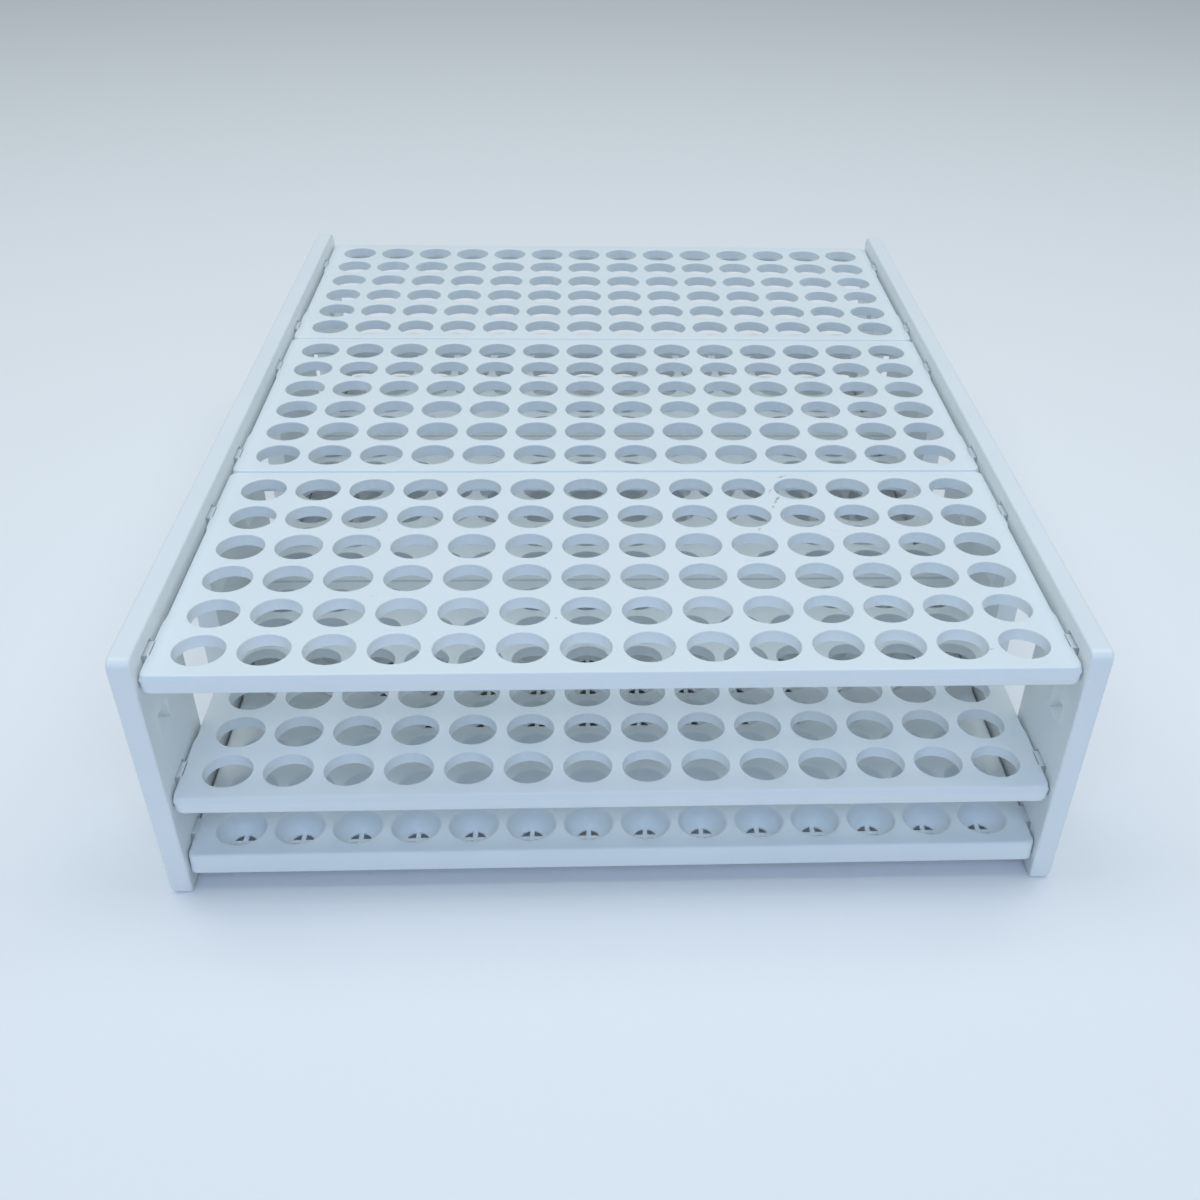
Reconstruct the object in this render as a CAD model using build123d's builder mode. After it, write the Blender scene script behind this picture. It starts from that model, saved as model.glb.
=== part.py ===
# Test tube rack of white moulded plastic.
# Two side plates carry three tiers of three panels each. The panels of the top and
# middle tier have round tube holes, those of the base tier have round-bottomed cups,
# and the tabs on the panels' ends sit in slots in the side plates. A fourth level of
# slots, between the top and the middle tier, is empty.
# X runs along the columns, Y towards the rear, Z up. The origin is on the floor under
# the middle of the rack. All sizes are in millimetres and degrees.
import os
from math import acos, degrees
from build123d import *

# Tube field, the same on every panel
column_count = 14
row_count = 6
column_pitch = 17.5
row_pitch = 17.95

# Panels of the top and the middle tier
tube_hole_diameter = 14.4
panel_end_margin = 13.65
panel_edge_margin = 12.3
panel_gap = 0.15
panel_skin = 4.0
panel_skirt_depth = 6.0
panel_skirt_wall = 2.5
panel_corner_radius = 2.0
panel_bottom_radius = 0.9
parting_line_depth = 2.1
strip_draft = 5.0
skirt_draft = 2.5

# Panels of the base tier
base_panel_height = 7.0
base_panel_draft = 1.5
base_top_radius = 0.9
cup_diameter = 14.6
drain_diameter = 6.8
drain_rib_width = 1.4

# Ends of the panels, where they meet the side plates
end_clearance = 0.2
relief_depth = 0.5
relief_start = 15.0
relief_length = 50.0
tab_length = 7.0
tab_height = 6.0
tab_root = 1.5
tab_play = 0.2
tab_end_recess = 0.4

# Slots in the side plates, two for each bay and level
slot_length = 9.5
slot_headroom = 1.2
slot_spacing = 74.0

# Side plates
plate_thickness = 6.4
plate_foot = 6.7
plate_rise = 5.8
plate_overhang = 1.3
plate_front_radius = 3.0
plate_rear_radius = 5.5
plate_bottom_radius = 2.5
plate_edge_radius = 0.8
window_start = 24.3
window_length = 35.7
window_head = 4.5
window_sill = 5.1
window_corner_radius = 2.0

# Heights of the levels above the base tier, from top face to top face
middle_tier_rise = 22.7
spare_level_rise = 45.7
top_tier_rise = 66.1

# Sizes that follow from these
first_column = -(column_count - 1) * column_pitch / 2
first_row = -(row_count - 1) * row_pitch / 2
panel_length = 2 * (panel_end_margin - first_column)
panel_depth = 2 * (panel_edge_margin - first_row)
bay_pitch = panel_depth + panel_gap
bay_centres = {"front": -bay_pitch, "centre": 0.0, "rear": bay_pitch}

base_tier_top = plate_foot + base_panel_height
middle_tier_top = base_tier_top + middle_tier_rise
spare_level_top = base_tier_top + spare_level_rise
top_tier_top = base_tier_top + top_tier_rise
level_tops = [base_tier_top, middle_tier_top, spare_level_top, top_tier_top]

plate_inner_x = panel_length / 2 + end_clearance
plate_outer_x = plate_inner_x + plate_thickness
plate_height = top_tier_top + plate_rise
plate_length = 2 * bay_pitch + panel_depth + 2 * plate_overhang
slot_height = slot_headroom + tab_height
slot_rows = [first_row, first_row + slot_spacing]

tab_offset = (slot_length - tab_length) / 2 - tab_play
tab_outer_x = plate_outer_x - tab_end_recess
tab_inner_x = panel_length / 2 - tab_root
tab_places = [
    (side * (tab_inner_x + tab_outer_x) / 2, row + tab_offset)
    for side in (-1, 1)
    for row in slot_rows
]
relief_centre = first_row + relief_start + relief_length / 2
relief_places = [(side * panel_length / 2, relief_centre) for side in (-1, 1)]

os.makedirs("parts", exist_ok=True)

# Panel with tube holes, with the middle of its top face at the origin
with BuildPart() as tube_panel:
    # Rim, widest at the parting line and drawn in above and below it
    with BuildSketch(Plane.XY.offset(-parting_line_depth)) as rim:
        RectangleRounded(panel_length, panel_depth, panel_corner_radius)
    extrude(amount=parting_line_depth, taper=strip_draft)
    extrude(rim.sketch, amount=parting_line_depth - panel_skirt_depth, taper=skirt_draft)
    bottom_edges = tube_panel.faces().sort_by(Axis.Z)[0].edges()
    fillet(bottom_edges, panel_bottom_radius)

    # Hollow underside, inside the skirt
    with BuildSketch(Plane.XY.offset(-panel_skirt_depth)):
        RectangleRounded(
            panel_length - 2 * panel_skirt_wall,
            panel_depth - 2 * panel_skirt_wall,
            panel_corner_radius,
        )
    extrude(amount=panel_skirt_depth - panel_skin, mode=Mode.SUBTRACT)

    # Tube holes
    with BuildSketch():
        with GridLocations(column_pitch, row_pitch, column_count, row_count):
            Circle(tube_hole_diameter / 2)
    extrude(amount=-panel_skin, mode=Mode.SUBTRACT)

    # Shallow relief in both ends, and the tabs beside it
    with BuildSketch():
        with Locations(*relief_places):
            Rectangle(2 * relief_depth, relief_length)
    extrude(amount=-panel_skirt_depth, mode=Mode.SUBTRACT)
    with BuildSketch():
        with Locations(*tab_places):
            Rectangle(tab_outer_x - tab_inner_x, tab_length)
    extrude(amount=-tab_height)

# Hollow of one cup: a round bowl down to a thin floor, which is cut through by a drain
# hole that a cross of two ribs divides in four
cup_radius = cup_diameter / 2
drain_radius = drain_diameter / 2
bowl_depth = (cup_radius**2 - drain_radius**2) ** 0.5
with BuildPart() as cup_hollow:
    with BuildSketch(Plane.XZ):
        with BuildLine():
            bowl = CenterArc((0, 0), cup_radius, 0, -degrees(acos(drain_radius / cup_radius)))
            Polyline(bowl @ 1, (0, -bowl_depth), (0, 0), bowl @ 0)
        make_face()
    revolve(axis=Axis.Z)
    with BuildSketch(Plane.XY.offset(-bowl_depth)):
        Circle(drain_radius)
        Rectangle(drain_diameter, drain_rib_width, mode=Mode.SUBTRACT)
        Rectangle(drain_rib_width, drain_diameter, mode=Mode.SUBTRACT)
    extrude(amount=bowl_depth - base_panel_height)

# Base panel with cups, with the middle of its top face at the origin
with BuildPart() as base_panel:
    with BuildSketch(Plane.XY.offset(-base_panel_height)):
        RectangleRounded(panel_length, panel_depth, panel_corner_radius)
    extrude(amount=base_panel_height, taper=base_panel_draft)
    top_edges = base_panel.faces().sort_by(Axis.Z)[-1].edges()
    fillet(top_edges, base_top_radius)
    with GridLocations(column_pitch, row_pitch, column_count, row_count):
        add(cup_hollow.part, mode=Mode.SUBTRACT)
    with BuildSketch():
        with Locations(*relief_places):
            Rectangle(2 * relief_depth, relief_length)
    extrude(amount=-base_panel_height, mode=Mode.SUBTRACT)
    with BuildSketch():
        with Locations(*tab_places):
            Rectangle(tab_outer_x - tab_inner_x, tab_length)
    extrude(amount=-tab_height)

# The nine panels, three to a tier
tiers = {
    "top_panel": (tube_panel, top_tier_top),
    "middle_panel": (tube_panel, middle_tier_top),
    "base_panel": (base_panel, base_tier_top),
}
for tier_name, (pattern, tier_top) in tiers.items():
    for bay_name, bay_y in bay_centres.items():
        with BuildPart() as panel:
            with Locations((0, bay_y, tier_top)):
                add(pattern.part)
        panel.part.label = f"{tier_name}_{bay_name}"
        export_step(panel.part, f"parts/{tier_name}_{bay_name}.step")

# The two side plates, with a window in each bay and two slots in each bay and level
window_top = top_tier_top - panel_skirt_depth - window_head
window_bottom = base_tier_top + window_sill
window_height = window_top - window_bottom
window_places = [
    (bay_y + first_row + window_start + window_length / 2, window_bottom + window_height / 2)
    for bay_y in bay_centres.values()
]
slot_places = [
    (bay_y + row, level_top - tab_height + slot_height / 2)
    for bay_y in bay_centres.values()
    for row in slot_rows
    for level_top in level_tops
]
for plate_name, side in (("left", -1), ("right", 1)):
    inner_plane = Plane(origin=(side * plate_inner_x, 0, 0), x_dir=(0, 1, 0), z_dir=(1, 0, 0))
    with BuildPart() as side_plate:
        with BuildSketch(inner_plane) as outline:
            with Locations((0, plate_height / 2)):
                Rectangle(plate_length, plate_height)
            top_corners = outline.vertices().group_by(Axis.Y)[-1].sort_by(Axis.X)
            fillet(top_corners[0], plate_front_radius)
            fillet(top_corners[1], plate_rear_radius)
        extrude(amount=side * plate_thickness)
        outer_face = side_plate.faces().sort_by(Axis.X)[-1 if side > 0 else 0]
        floor_edge = outer_face.edges().sort_by(Axis.Z)[0]
        fillet(floor_edge, plate_bottom_radius)
        rim_edges = side_plate.edges().filter_by(
            lambda edge: edge.center().Z > plate_height - plate_rear_radius
        )
        fillet(rim_edges.filter_by(Axis.X, reverse=True), plate_edge_radius)
        with BuildSketch(inner_plane):
            with Locations(*window_places):
                RectangleRounded(window_length, window_height, window_corner_radius)
            with Locations(*slot_places):
                Rectangle(slot_length, slot_height)
        extrude(amount=side * plate_thickness, mode=Mode.SUBTRACT)
    side_plate.part.label = f"side_plate_{plate_name}"
    export_step(side_plate.part, f"parts/side_plate_{plate_name}.step")
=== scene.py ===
import math

import bmesh
import bpy
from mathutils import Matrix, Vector


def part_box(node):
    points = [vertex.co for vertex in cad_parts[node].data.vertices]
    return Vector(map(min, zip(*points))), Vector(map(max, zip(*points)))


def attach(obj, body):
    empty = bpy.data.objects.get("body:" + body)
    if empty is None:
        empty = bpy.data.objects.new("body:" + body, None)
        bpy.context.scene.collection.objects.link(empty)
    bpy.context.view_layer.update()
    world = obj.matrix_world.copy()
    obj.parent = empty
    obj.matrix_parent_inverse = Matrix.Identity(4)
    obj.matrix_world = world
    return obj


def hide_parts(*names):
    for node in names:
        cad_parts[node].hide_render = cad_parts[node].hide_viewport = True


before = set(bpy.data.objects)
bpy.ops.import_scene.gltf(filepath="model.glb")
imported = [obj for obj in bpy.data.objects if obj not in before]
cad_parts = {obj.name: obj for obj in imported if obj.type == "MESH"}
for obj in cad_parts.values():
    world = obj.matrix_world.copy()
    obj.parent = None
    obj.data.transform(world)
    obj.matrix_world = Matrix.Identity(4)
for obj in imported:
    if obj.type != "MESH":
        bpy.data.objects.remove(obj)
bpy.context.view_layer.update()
bpy.ops.object.select_all(action="DESELECT")

# Tube panels. Six like mouldings of white plastic, three in the top and three in the
# middle tier: a thin plate with 14 by 6 tube holes, stiffened by a skirt all round,
# with two tabs on each end that sit in the slots of the side plates.
MM = 0.001
COLUMNS, ROWS = 14, 6
COLUMN_PITCH, ROW_PITCH = 17.5 * MM, 17.95 * MM
FIRST_COLUMN = -(COLUMNS - 1) / 2 * COLUMN_PITCH
FIRST_ROW = -(ROWS - 1) / 2 * ROW_PITCH
FIELD_HALF_LENGTH = COLUMNS / 2 * COLUMN_PITCH
FIELD_HALF_DEPTH = ROWS / 2 * ROW_PITCH
HOLE_RADIUS = 7.2 * MM
HOLE_SIDES = 24
HOLE_EDGE = 0.35 * MM
HOLE_EDGE_STEPS = 2
HOLE_FOOT_EDGE = 0.2 * MM
PLATE = 4.0 * MM
PANEL_HALF_LENGTH = 127.4 * MM
PANEL_HALF_DEPTH = 57.175 * MM
PANEL_CORNER = 2.0 * MM
PANEL_CORNER_SEGMENTS = 4
RIM_REACH = 2.3 * MM
SKIRT = 6.0 * MM
SKIRT_WALL = 2.5 * MM
RELIEF_DEPTH = 0.5 * MM
RELIEF_REACH = 1.2 * MM
RELIEF_Y = (FIRST_ROW + 15.0 * MM, FIRST_ROW + 65.0 * MM)
TAB_X = (125.9 * MM, 133.6 * MM)
TAB_LENGTH = 7.0 * MM
TAB_HEIGHT = 6.0 * MM
TAB_EDGE = 0.35 * MM
TAB_Y = (FIRST_ROW + 1.05 * MM, FIRST_ROW + 75.05 * MM)
GATE_RADIUS = 1.3 * MM
GATE_SIDES = 20
GATE_RISE = 0.15 * MM
GATE_EDGE = 0.8 * GATE_RISE
GATE_PLACE = (4 * COLUMN_PITCH, ROW_PITCH)
SMOOTH_ANGLE = math.radians(50)
MERGE_ROOM = 0.01 * MM

# Inset and height of each ring from the top face, past the parting line, to the inside
SKIRT_PROFILE = [
    (0.95 * MM, 0.0 * MM), (0.68 * MM, -0.08 * MM), (0.48 * MM, -0.34 * MM),
    (0.12 * MM, -1.75 * MM), (0.0 * MM, -1.85 * MM), (0.0 * MM, -2.0 * MM), (0.1 * MM, -2.1 * MM),
    (0.24 * MM, -5.1 * MM), (0.5 * MM, -5.74 * MM), (1.1 * MM, -SKIRT),
    (SKIRT_WALL, -SKIRT), (SKIRT_WALL, -PLATE),
]


def near(value, target, room=0.02 * MM):
    return abs(value - target) < room


def start_selection(obj, mode):
    """Leaves nothing selected in edit mode, and gives the mesh."""
    mesh = bmesh.from_edit_mesh(obj.data)
    for element in [*mesh.verts, *mesh.edges, *mesh.faces]:
        element.select = False
    bpy.ops.mesh.select_mode(type=mode)
    return mesh


def select_edges(obj, test):
    """Selects the edges that pass the test, which gets an edge's middle and the edge."""
    mesh = start_selection(obj, "EDGE")
    for edge in mesh.edges:
        if test((edge.verts[0].co + edge.verts[1].co) / 2, edge):
            edge.select_set(True)
    bmesh.update_edit_mesh(obj.data)


def select_vertices(obj, test):
    """Selects the vertices whose place passes the test."""
    mesh = start_selection(obj, "VERT")
    for vertex in mesh.verts:
        if test(vertex.co):
            vertex.select_set(True)
    bmesh.update_edit_mesh(obj.data)


def draw_ring(profile):
    """Extrudes the selected round edge along (radius, height) points about the Z axis."""
    for (radius, z), (next_radius, next_z) in zip(profile, profile[1:]):
        bpy.ops.mesh.extrude_region_move(TRANSFORM_OT_translate={"value": (0, 0, next_z - z)})
        factor = next_radius / radius
        bpy.ops.transform.resize(value=(factor, factor, 1), center_override=(0, 0, 0))


def draw_to_border(obj, radius, z):
    """Extrudes the round edge at that height out to the rectangle that the cell fills."""
    half_x, half_y = COLUMN_PITCH / 2, ROW_PITCH / 2
    select_edges(obj, lambda middle, edge: near(middle.z, z) and edge.is_boundary)
    bpy.ops.mesh.extrude_region_move()
    widen = math.sqrt(2) / radius
    bpy.ops.transform.resize(value=(half_x * widen, half_y * widen, 1), center_override=(0, 0, 0))
    for sign in (-1, 1):
        select_vertices(obj, lambda place: near(place.z, z) and sign * place.x > half_x)
        bpy.ops.transform.resize(value=(0, 1, 1), center_override=(sign * half_x, 0, 0))
        select_vertices(obj, lambda place: near(place.z, z) and sign * place.y > half_y)
        bpy.ops.transform.resize(value=(1, 0, 1), center_override=(0, sign * half_y, 0))


def draw_cell(obj, profile):
    """Makes one cell: the hole along its profile, and the flat faces round both its ends."""
    bpy.ops.mesh.primitive_circle_add(vertices=HOLE_SIDES, radius=profile[0][0])
    draw_ring(profile)
    draw_to_border(obj, *profile[0])
    draw_to_border(obj, *profile[-1])


def edge_round(radius, size, steps):
    """Points of a quarter round of that size, from the top face to the hole's wall."""
    points = []
    for step in range(steps + 1):
        turn = math.pi / 2 * step / steps
        points.append((radius + size * (1 - math.sin(turn)), -size * (1 - math.cos(turn))))
    return points


def new_mesh_object(name):
    """An empty mesh object, in edit mode."""
    bpy.ops.mesh.primitive_plane_add(size=1)
    obj = bpy.context.object
    obj.name = name
    bpy.ops.object.mode_set(mode="EDIT")
    bpy.ops.mesh.select_all(action="SELECT")
    bpy.ops.mesh.delete(type="VERT")
    return obj


def repeat_cell(obj):
    """Repeats the cell over the tube field and moves the first one to its place."""
    bpy.ops.object.mode_set(mode="OBJECT")
    for count, step in ((COLUMNS, (COLUMN_PITCH, 0, 0)), (ROWS, (0, ROW_PITCH, 0))):
        array = obj.modifiers.new("cells", "ARRAY")
        array.count = count
        array.use_relative_offset = False
        array.use_constant_offset = True
        array.constant_offset_displace = step
        array.use_merge_vertices = True
        array.merge_threshold = MERGE_ROOM
        bpy.ops.object.modifier_apply(modifier=array.name)
    obj.location = (FIRST_COLUMN, FIRST_ROW, 0)
    bpy.ops.object.transform_apply(location=True, rotation=False, scale=False)


def draw_rim(obj, profile, field_foot):
    """Extrudes the field's upper edge along (inset, height) points and back to its lower edge."""
    rings = [(PANEL_HALF_LENGTH - inset, PANEL_HALF_DEPTH - inset, z) for inset, z in profile]
    rings.append((FIELD_HALF_LENGTH, FIELD_HALF_DEPTH, field_foot))
    bpy.ops.object.mode_set(mode="EDIT")
    select_edges(obj, lambda middle, edge: near(middle.z, 0) and edge.is_boundary)
    half_x, half_y, z = FIELD_HALF_LENGTH, FIELD_HALF_DEPTH, 0.0
    for next_x, next_y, next_z in rings:
        bpy.ops.mesh.extrude_region_move(TRANSFORM_OT_translate={"value": (0, 0, next_z - z)})
        widen = (next_x / half_x, next_y / half_y, 1)
        bpy.ops.transform.resize(value=widen, center_override=(0, 0, 0))
        half_x, half_y, z = next_x, next_y, next_z
    bpy.ops.mesh.select_all(action="SELECT")
    bpy.ops.mesh.remove_doubles(threshold=MERGE_ROOM)


def round_plan_corners(obj):
    """Rounds the four upright corners of the panel's rim."""

    def at_corner(middle, edge):
        return all(
            abs(vertex.co.x) > PANEL_HALF_LENGTH - RIM_REACH
            and abs(vertex.co.y) > PANEL_HALF_DEPTH - RIM_REACH
            for vertex in edge.verts
        )

    select_edges(obj, at_corner)
    bpy.ops.mesh.bevel(offset=PANEL_CORNER, segments=PANEL_CORNER_SEGMENTS, affect="EDGES",
                       clamp_overlap=False)


def relieve_ends(obj):
    """Sets the middle stretch of both ends back from the side plates."""
    low_y, high_y = RELIEF_Y[0] - RELIEF_REACH, RELIEF_Y[1] + RELIEF_REACH
    for side in (-1, 1):
        select_vertices(obj, lambda place: side * place.x > PANEL_HALF_LENGTH - RELIEF_REACH
                        and low_y < place.y < high_y)
        bpy.ops.transform.translate(value=(-side * RELIEF_DEPTH, 0, 0))


def add_block(low, high):
    """A box between two corners, left in object mode."""
    middle = [(first + last) / 2 for first, last in zip(low, high)]
    size = [last - first for first, last in zip(low, high)]
    bpy.ops.mesh.primitive_cube_add(size=1, location=middle, scale=size)
    bpy.ops.object.transform_apply(location=True, rotation=False, scale=True)
    return bpy.context.object


def soften_edges(obj, width, segments):
    """Rounds every edge that is still sharp."""
    edges = obj.modifiers.new("edges", "BEVEL")
    edges.limit_method = "ANGLE"
    edges.angle_limit = SMOOTH_ANGLE
    edges.width = width
    edges.segments = segments
    bpy.ops.object.modifier_apply(modifier=edges.name)


def join_to(obj, others):
    """Joins finished meshes to the object."""
    bpy.ops.object.select_all(action="DESELECT")
    for other in others:
        other.select_set(True)
    obj.select_set(True)
    bpy.context.view_layer.objects.active = obj
    bpy.ops.object.join()


def add_tabs(obj):
    """Adds the four tabs, each a block with softened edges, to the panel's ends."""
    bpy.ops.object.mode_set(mode="OBJECT")
    tabs = []
    for side in (-1, 1):
        low_x, high_x = sorted(side * x for x in TAB_X)
        for y in TAB_Y:
            tab = add_block((low_x, y - TAB_LENGTH / 2, -TAB_HEIGHT), (high_x, y + TAB_LENGTH / 2, 0))
            soften_edges(tab, TAB_EDGE, 2)
            tabs.append(tab)
    join_to(obj, tabs)


def add_gate_marks(obj):
    """Adds the two low round marks that the mould's gates leave on the top face."""
    marks = []
    for side in (-1, 1):
        bpy.ops.mesh.primitive_cylinder_add(
            vertices=GATE_SIDES, radius=GATE_RADIUS, depth=2 * GATE_RISE,
            location=(side * GATE_PLACE[0], side * GATE_PLACE[1], 0))
        mark = bpy.context.object
        bpy.ops.object.transform_apply(location=True, rotation=False, scale=False)
        soften_edges(mark, GATE_EDGE, 2)
        marks.append(mark)
    join_to(obj, marks)


def close_shading(obj):
    """Smooth roundings beside flat faces that stay flat."""
    bpy.ops.object.mode_set(mode="EDIT")
    bpy.ops.mesh.select_all(action="SELECT")
    bpy.ops.mesh.normals_make_consistent(inside=False)
    bpy.ops.object.mode_set(mode="OBJECT")
    bpy.ops.object.shade_smooth_by_angle(angle=SMOOTH_ANGLE)
    weighted = obj.modifiers.new("flat faces", "WEIGHTED_NORMAL")
    weighted.keep_sharp = True
    bpy.ops.object.modifier_apply(modifier=weighted.name)
    bpy.ops.object.select_all(action="DESELECT")


def copy_of(pattern, name):
    """A copy of the pattern with its own mesh, active and selected alone."""
    bpy.ops.object.select_all(action="DESELECT")
    pattern.select_set(True)
    bpy.context.view_layer.objects.active = pattern
    bpy.ops.object.duplicate(linked=False)
    piece = bpy.context.object
    piece.name = name
    return piece


def put_copies(pattern, nodes):
    """Puts a copy in the place of each node, and drops the pattern."""
    pieces = []
    for node in nodes:
        low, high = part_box(node)
        piece = copy_of(pattern, node + "_finish")
        piece.location = ((low.x + high.x) / 2, (low.y + high.y) / 2, high.z)
        bpy.ops.object.transform_apply(location=True, rotation=False, scale=False)
        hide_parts(node)
        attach(piece, "root")
        pieces.append(piece)
    bpy.data.objects.remove(pattern)
    return pieces


tube_panel = new_mesh_object("tube_panel_pattern")
hole_profile = edge_round(HOLE_RADIUS, HOLE_EDGE, HOLE_EDGE_STEPS)
hole_profile += [(HOLE_RADIUS, HOLE_FOOT_EDGE - PLATE), (HOLE_RADIUS + HOLE_FOOT_EDGE, -PLATE)]
draw_cell(tube_panel, hole_profile)
repeat_cell(tube_panel)
draw_rim(tube_panel, SKIRT_PROFILE, -PLATE)
round_plan_corners(tube_panel)
relieve_ends(tube_panel)
add_tabs(tube_panel)
add_gate_marks(tube_panel)
close_shading(tube_panel)
tube_panels = put_copies(
    tube_panel,
    [f"{tier}_panel_{bay}" for tier in ("top", "middle") for bay in ("front", "centre", "rear")],
)

# Base panels. Three like mouldings of the same plastic, thicker than the others: at each
# tube position a round bowl, ending in a drain hole that a cross of two ribs divides.
BASE_HEIGHT = 7.0 * MM
CUP_RADIUS = 7.3 * MM
CUP_EDGE = 0.8 * MM
CUP_EDGE_BEND = 0.3 * CUP_EDGE
CUP_BANDS = 6
DRAIN_RADIUS = 3.4 * MM
DRAIN_RIB = 1.4 * MM

# Inset and height of each ring from the top face to the underside
BASE_PROFILE = [
    (1.08 * MM, 0.0 * MM), (0.74 * MM, -0.07 * MM), (0.45 * MM, -0.26 * MM), (0.25 * MM, -0.55 * MM),
    (0.18 * MM, -0.9 * MM), (0.0 * MM, -6.8 * MM), (0.2 * MM, -BASE_HEIGHT),
]


def cup_profile():
    """Points from the rounded mouth down the bowl to the drain and the underside."""
    points = [(CUP_RADIUS + CUP_EDGE, 0.0), (CUP_RADIUS + CUP_EDGE_BEND, -CUP_EDGE_BEND)]
    turn_start = math.asin(CUP_EDGE / CUP_RADIUS)
    turn_end = math.acos(DRAIN_RADIUS / CUP_RADIUS)
    for band in range(CUP_BANDS + 1):
        turn = turn_start + (turn_end - turn_start) * band / CUP_BANDS
        points.append((CUP_RADIUS * math.cos(turn), -CUP_RADIUS * math.sin(turn)))
    points.append((DRAIN_RADIUS, -BASE_HEIGHT))
    return points


def add_drain_ribs(top):
    """Adds the cross to the cell: one rib right across, and half a rib on each side of it."""
    middle, height = (top - BASE_HEIGHT) / 2, top + BASE_HEIGHT
    bpy.ops.mesh.primitive_cube_add(size=1, location=(0, 0, middle),
                                    scale=(DRAIN_RIB, 2 * DRAIN_RADIUS, height))
    half_rib = DRAIN_RADIUS - DRAIN_RIB / 2
    for side in (-1, 1):
        bpy.ops.mesh.primitive_cube_add(size=1, location=(side * (DRAIN_RIB + half_rib) / 2, 0, middle),
                                        scale=(half_rib, DRAIN_RIB, height))


base_panel = new_mesh_object("base_panel_pattern")
bowl_profile = cup_profile()
draw_cell(base_panel, bowl_profile)
add_drain_ribs(bowl_profile[-2][1])
repeat_cell(base_panel)
draw_rim(base_panel, BASE_PROFILE, -BASE_HEIGHT)
round_plan_corners(base_panel)
relieve_ends(base_panel)
add_tabs(base_panel)
close_shading(base_panel)
base_panels = put_copies(
    base_panel, [f"base_panel_{bay}" for bay in ("front", "centre", "rear")])

# Plastic. White, slightly blue in daylight, with a soft gloss, faint flow clouds from the
# moulding and a fine grain.
# The panels' two tones are the plastic's own colour, set a little darker and bluer than the side
# plates' tones as painted shade for the panels' darker fronts.
PANEL_TONES_WITH_PAINTED_SHADE = ((0.86, 0.90, 0.90), (0.83, 0.875, 0.88))


def add_node(tree, kind, x, y, **inputs):
    """Adds a node at a place in the editor, with those values on its sockets."""
    node = tree.nodes.new(kind)
    node.location = (x, y)
    for name, value in inputs.items():
        node.inputs[name.replace("_", " ")].default_value = value
    return node


def white_plastic(name, light, dark):
    """Moulded plastic whose colour drifts a little between light and dark."""
    material = bpy.data.materials.new(name)
    material.use_nodes = True
    tree = material.node_tree
    shader = tree.nodes["Principled BSDF"]
    shader.inputs["IOR"].default_value = 1.49
    place = add_node(tree, "ShaderNodeTexCoord", -1200, 0)
    clouds = add_node(tree, "ShaderNodeTexNoise", -900, 200, Scale=22.0, Detail=4.0, Roughness=0.55)
    tree.links.new(place.outputs["Object"], clouds.inputs["Vector"])
    ramp = add_node(tree, "ShaderNodeValToRGB", -600, 200)
    ramp.color_ramp.elements[0].position = 0.3
    ramp.color_ramp.elements[0].color = (*dark, 1)
    ramp.color_ramp.elements[1].position = 0.7
    ramp.color_ramp.elements[1].color = (*light, 1)
    tree.links.new(clouds.outputs["Fac"], ramp.inputs["Fac"])
    tree.links.new(ramp.outputs["Color"], shader.inputs["Base Color"])
    gloss = add_node(tree, "ShaderNodeMapRange", -600, -100, To_Min=0.3, To_Max=0.42)
    tree.links.new(clouds.outputs["Fac"], gloss.inputs["Value"])
    tree.links.new(gloss.outputs["Result"], shader.inputs["Roughness"])
    grain = add_node(tree, "ShaderNodeTexNoise", -900, -300, Scale=900.0, Detail=2.0)
    tree.links.new(place.outputs["Object"], grain.inputs["Vector"])
    bump = add_node(tree, "ShaderNodeBump", -600, -300, Strength=0.05, Distance=0.0002)
    tree.links.new(grain.outputs["Fac"], bump.inputs["Height"])
    tree.links.new(bump.outputs["Normal"], shader.inputs["Normal"])
    return material


panel_plastic = white_plastic("panel_plastic", *PANEL_TONES_WITH_PAINTED_SHADE)
for piece in tube_panels[1:] + base_panels:
    piece.data.materials.append(panel_plastic)

# Dirt on the front panel of the top tier: brown spots along its rear edge and on the lands
# in front of it, right of the middle, faint grime further forward, and a few grey specks.
BROWN, GREEN_BROWN, GREY = (0.20, 0.12, 0.06), (0.16, 0.14, 0.07), (0.42, 0.42, 0.40)
TOP_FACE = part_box("top_panel_front")[1].z

# Ends of each streak in millimetres, its width, its colour and how strong it is
SMUDGES = [
    (((55.2, -57.2), (61.1, -56.8)), 0.8 * MM, BROWN, 0.8),
    (((55.9, -62.5), (59.6, -60.4)), 0.9 * MM, GREEN_BROWN, 0.8),
    (((51.8, -73.6), (53.3, -68.8)), 1.1 * MM, BROWN, 0.35),
    (((53.2, -79.6), (55.1, -75.0)), 1.4 * MM, BROWN, 0.8),
    (((52.2, -82.6), (52.3, -82.0)), 1.6 * MM, BROWN, 0.8),
    (((45.6, -97.5), (46.8, -95.0)), 1.2 * MM, BROWN, 0.3),
    (((39.4, -115.4), (44.0, -114.8)), 1.0 * MM, GREY, 0.4),
    (((-17.3, -145.8), (-17.3, -145.0)), 1.0 * MM, GREY, 0.7),
    (((-16.8, -157.0), (-16.8, -156.2)), 0.9 * MM, GREY, 0.7),
    (((-73.1, -96.4), (-73.1, -95.6)), 0.9 * MM, GREY, 0.6),
    (((102.5, -162.3), (104.5, -161.9)), 1.0 * MM, GREY, 0.5),
]


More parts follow.
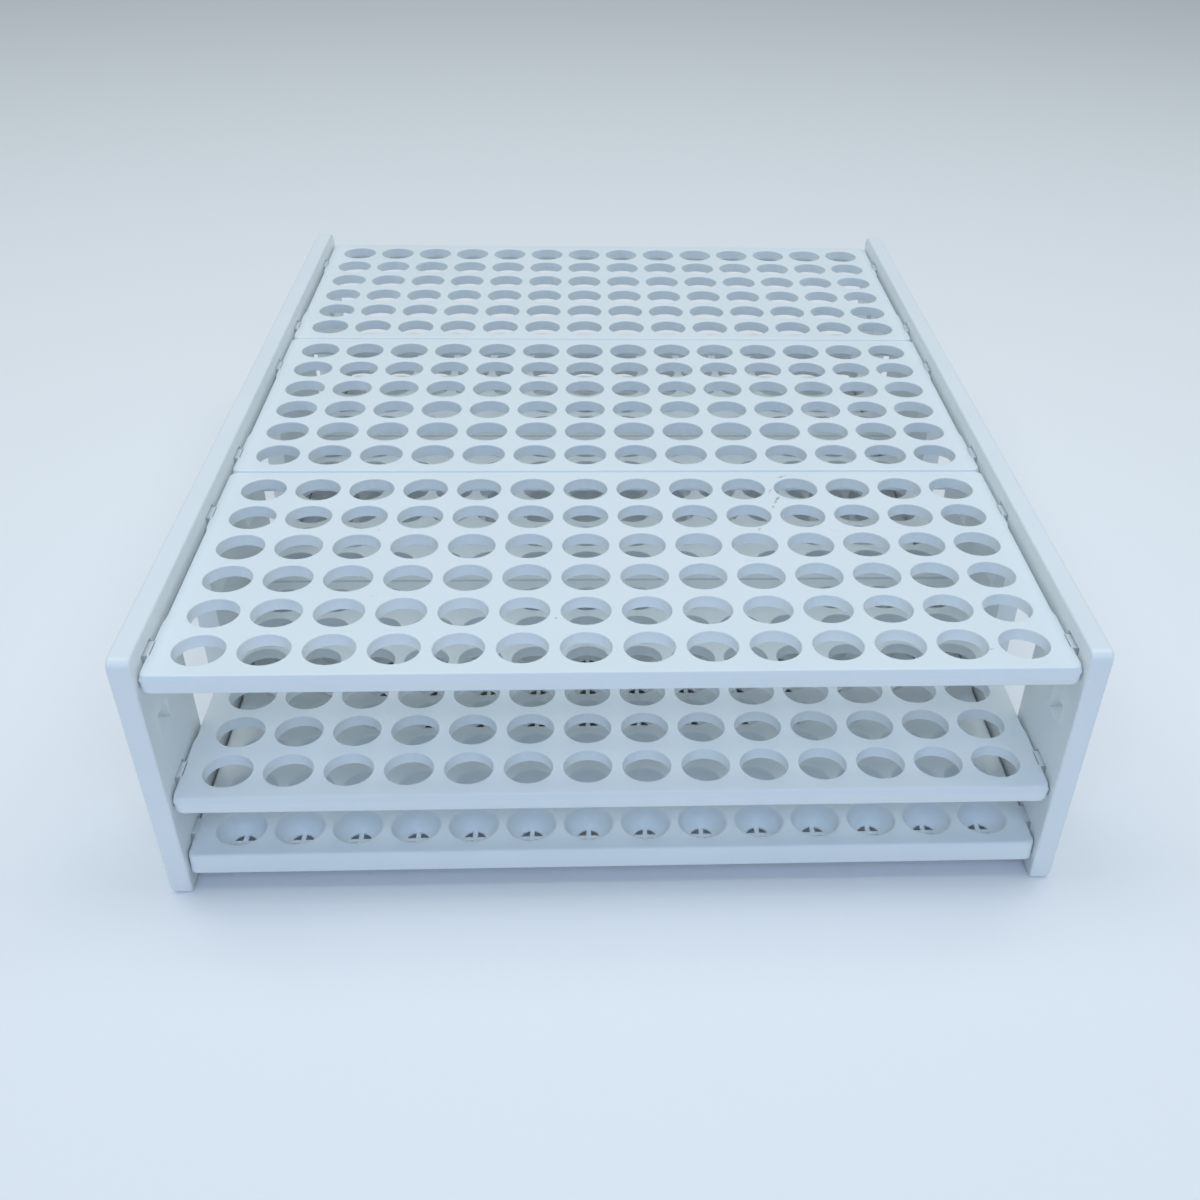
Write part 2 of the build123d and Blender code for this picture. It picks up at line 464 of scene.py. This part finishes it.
def add_smudge(material, ends, width, colour, strength):
    """Mixes a soft-edged, broken streak between two points of the panel's top into its colour."""
    tree = material.node_tree
    (x, y), (end_x, end_y) = ends
    half_length = math.dist(*ends) / 2 * MM + width / 2
    place = add_node(tree, "ShaderNodeTexCoord", -1500, -600)
    streak = add_node(
        tree, "ShaderNodeMapping", -1300, -600,
        Location=((x + end_x) / 2 * MM, (y + end_y) / 2 * MM, TOP_FACE),
        Rotation=(0, 0, math.atan2(end_y - y, end_x - x)),
        Scale=(half_length, width / 2, width))
    streak.vector_type = "TEXTURE"
    tree.links.new(place.outputs["Object"], streak.inputs["Vector"])
    distance = add_node(tree, "ShaderNodeVectorMath", -1100, -600)
    distance.operation = "LENGTH"
    tree.links.new(streak.outputs["Vector"], distance.inputs[0])
    fade = add_node(tree, "ShaderNodeMapRange", -900, -600, From_Min=1.0, From_Max=0.35)
    tree.links.new(distance.outputs["Value"], fade.inputs["Value"])
    patches = add_node(tree, "ShaderNodeTexNoise", -1100, -800, Scale=700.0, Detail=3.0)
    tree.links.new(place.outputs["Object"], patches.inputs["Vector"])
    broken = add_node(tree, "ShaderNodeMapRange", -900, -800, From_Min=0.38, From_Max=0.58,
                      To_Max=strength)
    tree.links.new(patches.outputs["Fac"], broken.inputs["Value"])
    amount = add_node(tree, "ShaderNodeMath", -600, -600)
    amount.operation = "MULTIPLY"
    tree.links.new(fade.outputs["Result"], amount.inputs[0])
    tree.links.new(broken.outputs["Result"], amount.inputs[1])
    colour_socket = tree.nodes["Principled BSDF"].inputs["Base Color"]
    mixed = add_node(tree, "ShaderNodeMixRGB", -300, -600, Color2=(*colour, 1))
    tree.links.new(amount.outputs["Value"], mixed.inputs["Fac"])
    tree.links.new(colour_socket.links[0].from_socket, mixed.inputs["Color1"])
    tree.links.new(mixed.outputs["Color"], colour_socket)


soiled_plastic = white_plastic("soiled_plastic", *PANEL_TONES_WITH_PAINTED_SHADE)
for ends, width, colour, strength in SMUDGES:
    add_smudge(soiled_plastic, ends, width, colour, strength)
tube_panels[0].data.materials.append(soiled_plastic)

# Side plates. Two plates of the same plastic, standing on edge, with all their edges
# softened. Each has a window in each bay, and slots for the tabs at four levels, the
# third of which is unused.
BAY_PITCH = 114.5 * MM
PLATE_X = (127.6 * MM, 134.0 * MM)
PLATE_HALF_LENGTH = 172.975 * MM
PLATE_HEIGHT = 85.6 * MM
PLATE_EDGE = 0.8 * MM
FRONT_CORNER = 3.0 * MM
REAR_CORNER = 5.5 * MM
FOOT_CORNER = 2.5 * MM
LEVEL_TOPS = (13.7 * MM, 36.4 * MM, 59.4 * MM, 79.8 * MM)
SLOT_LENGTH = 9.5 * MM
SLOT_HEIGHT = 7.2 * MM
SLOT_ROWS = (FIRST_ROW, FIRST_ROW + 74.0 * MM)
WINDOW_Y = (FIRST_ROW + 24.3 * MM, FIRST_ROW + 60.0 * MM)
WINDOW_Z = (18.8 * MM, 69.3 * MM)
WINDOW_CORNER = 2.0 * MM
OPENING_EDGE = 0.35 * MM
CUT_ROOM = 1.0 * MM


def round_edges(obj, radius, segments, test):
    """Rounds the edges whose middle passes the test."""
    bpy.ops.object.mode_set(mode="EDIT")
    select_edges(obj, lambda middle, edge: test(middle))
    bpy.ops.mesh.bevel(offset=radius, segments=segments, affect="EDGES")
    bpy.ops.object.mode_set(mode="OBJECT")


def add_opening(low, high):
    """A block between two (y, z) corners that reaches through both faces of the plate."""
    return add_block((PLATE_X[0] - CUT_ROOM, *low), (PLATE_X[1] + CUT_ROOM, *high))


def add_openings():
    """The shapes of the windows and slots, joined."""
    shapes = []
    for bay_y in (-BAY_PITCH, 0, BAY_PITCH):
        window = add_opening((bay_y + WINDOW_Y[0], WINDOW_Z[0]), (bay_y + WINDOW_Y[1], WINDOW_Z[1]))
        round_edges(window, WINDOW_CORNER, 5, lambda middle: near(middle.x, sum(PLATE_X) / 2))
        shapes.append(window)
        for row_y in SLOT_ROWS:
            for level_top in LEVEL_TOPS:
                y, z = bay_y + row_y, level_top - TAB_HEIGHT
                low, high = (y - SLOT_LENGTH / 2, z), (y + SLOT_LENGTH / 2, z + SLOT_HEIGHT)
                shapes.append(add_opening(low, high))
    join_to(shapes[0], shapes[1:])
    return shapes[0]


side_plate = add_block(
    (PLATE_X[0], -PLATE_HALF_LENGTH, 0), (PLATE_X[1], PLATE_HALF_LENGTH, PLATE_HEIGHT))
round_edges(side_plate, FRONT_CORNER, 6, lambda middle: near(middle.y, -PLATE_HALF_LENGTH)
            and near(middle.z, PLATE_HEIGHT))
round_edges(side_plate, REAR_CORNER, 8, lambda middle: near(middle.y, PLATE_HALF_LENGTH)
            and near(middle.z, PLATE_HEIGHT))
round_edges(side_plate, FOOT_CORNER, 5, lambda middle: near(middle.x, PLATE_X[1])
            and near(middle.z, 0))
soften_edges(side_plate, PLATE_EDGE, 3)
openings = add_openings()
bpy.context.view_layer.objects.active = side_plate
cut = side_plate.modifiers.new("windows and slots", "BOOLEAN")
cut.operation = "DIFFERENCE"
cut.object = openings
bpy.ops.object.modifier_apply(modifier=cut.name)
bpy.data.objects.remove(openings)
soften_edges(side_plate, OPENING_EDGE, 2)

# The plates' tones are the plastic's own colour, a little lighter than the panels', whose extra
# darkness is painted shade.
plate_plastic = white_plastic("plate_plastic", (0.87, 0.90, 0.90), (0.84, 0.88, 0.88))
for name, side in (("left", -1), ("right", 1)):
    plate = copy_of(side_plate, f"side_plate_{name}_finish")
    bpy.ops.object.mode_set(mode="EDIT")
    bpy.ops.mesh.select_all(action="SELECT")
    bpy.ops.transform.resize(value=(side, 1, 1), center_override=(0, 0, 0))
    close_shading(plate)
    plate.data.materials.append(plate_plastic)
    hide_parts(f"side_plate_{name}")
    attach(plate, "root")
bpy.data.objects.remove(side_plate)

# Floor. A plain pale sheet, much larger than the rack, just below its feet.
FLOOR_SIZE = 12
FLOOR_DROP = 0.2 * MM
bpy.ops.mesh.primitive_plane_add(size=FLOOR_SIZE, location=(0, 0, -FLOOR_DROP))
floor = bpy.context.object
floor.name = "floor"
floor_paint = bpy.data.materials.new("floor_paint")
floor_paint.use_nodes = True
floor_shader = floor_paint.node_tree.nodes["Principled BSDF"]
floor_shader.inputs["Base Color"].default_value = (0.95, 0.94, 0.93, 1)
floor_shader.inputs["Roughness"].default_value = 0.9
floor.data.materials.append(floor_paint)

# Light. Soft cool daylight from all round, two large soft lamps above, and a bluer one in
# front.
world = bpy.data.worlds.new("daylight")
bpy.context.scene.world = world
world.use_nodes = True
sky = world.node_tree.nodes["Background"]
sky.inputs["Color"].default_value = (0.80, 0.92, 1.0, 1)
sky.inputs["Strength"].default_value = 0.36


def add_lamp(name, place, aim, size, power, colour):
    """A rectangular soft lamp at a place, turned towards a point."""
    bpy.ops.object.light_add(type="AREA", location=place)
    lamp = bpy.context.object
    lamp.name = name
    lamp.data.shape = "RECTANGLE"
    lamp.data.size, lamp.data.size_y = size
    lamp.data.energy = power
    lamp.data.color = colour
    backwards = lamp.location - Vector(aim)
    lamp.rotation_euler = backwards.to_track_quat("Z", "Y").to_euler()


for name, x in (("lamp_left", -0.5), ("lamp_right", 0.5)):
    add_lamp(name, place=(x, 0.1, 1.4), aim=(0, 0, 0), size=(0.8, 1.0), power=5.5,
             colour=(0.92, 0.98, 1.0))
add_lamp("lamp_front", place=(0, -1.35, 1.15), aim=(0, 0, 0.05), size=(1.6, 0.8), power=8.5,
         colour=(0.38, 0.58, 1.0))

# Camera. Close in front of the rack, a little left of its middle, looking down on it.
bpy.ops.object.camera_add(location=(-7.6 * MM, -443.9 * MM, 283.6 * MM),
                          rotation=tuple(math.radians(a) for a in (52.335, -1.260, -2.576)))
camera = bpy.context.object
camera.name = "camera"
camera.data.sensor_width = 36.0
camera.data.lens = 38.083
camera.data.shift_x = -0.0444
camera.data.shift_y = 0.0771
camera.data.clip_start = 0.01
bpy.context.scene.camera = camera
bpy.context.scene.view_settings.view_transform = "Standard"
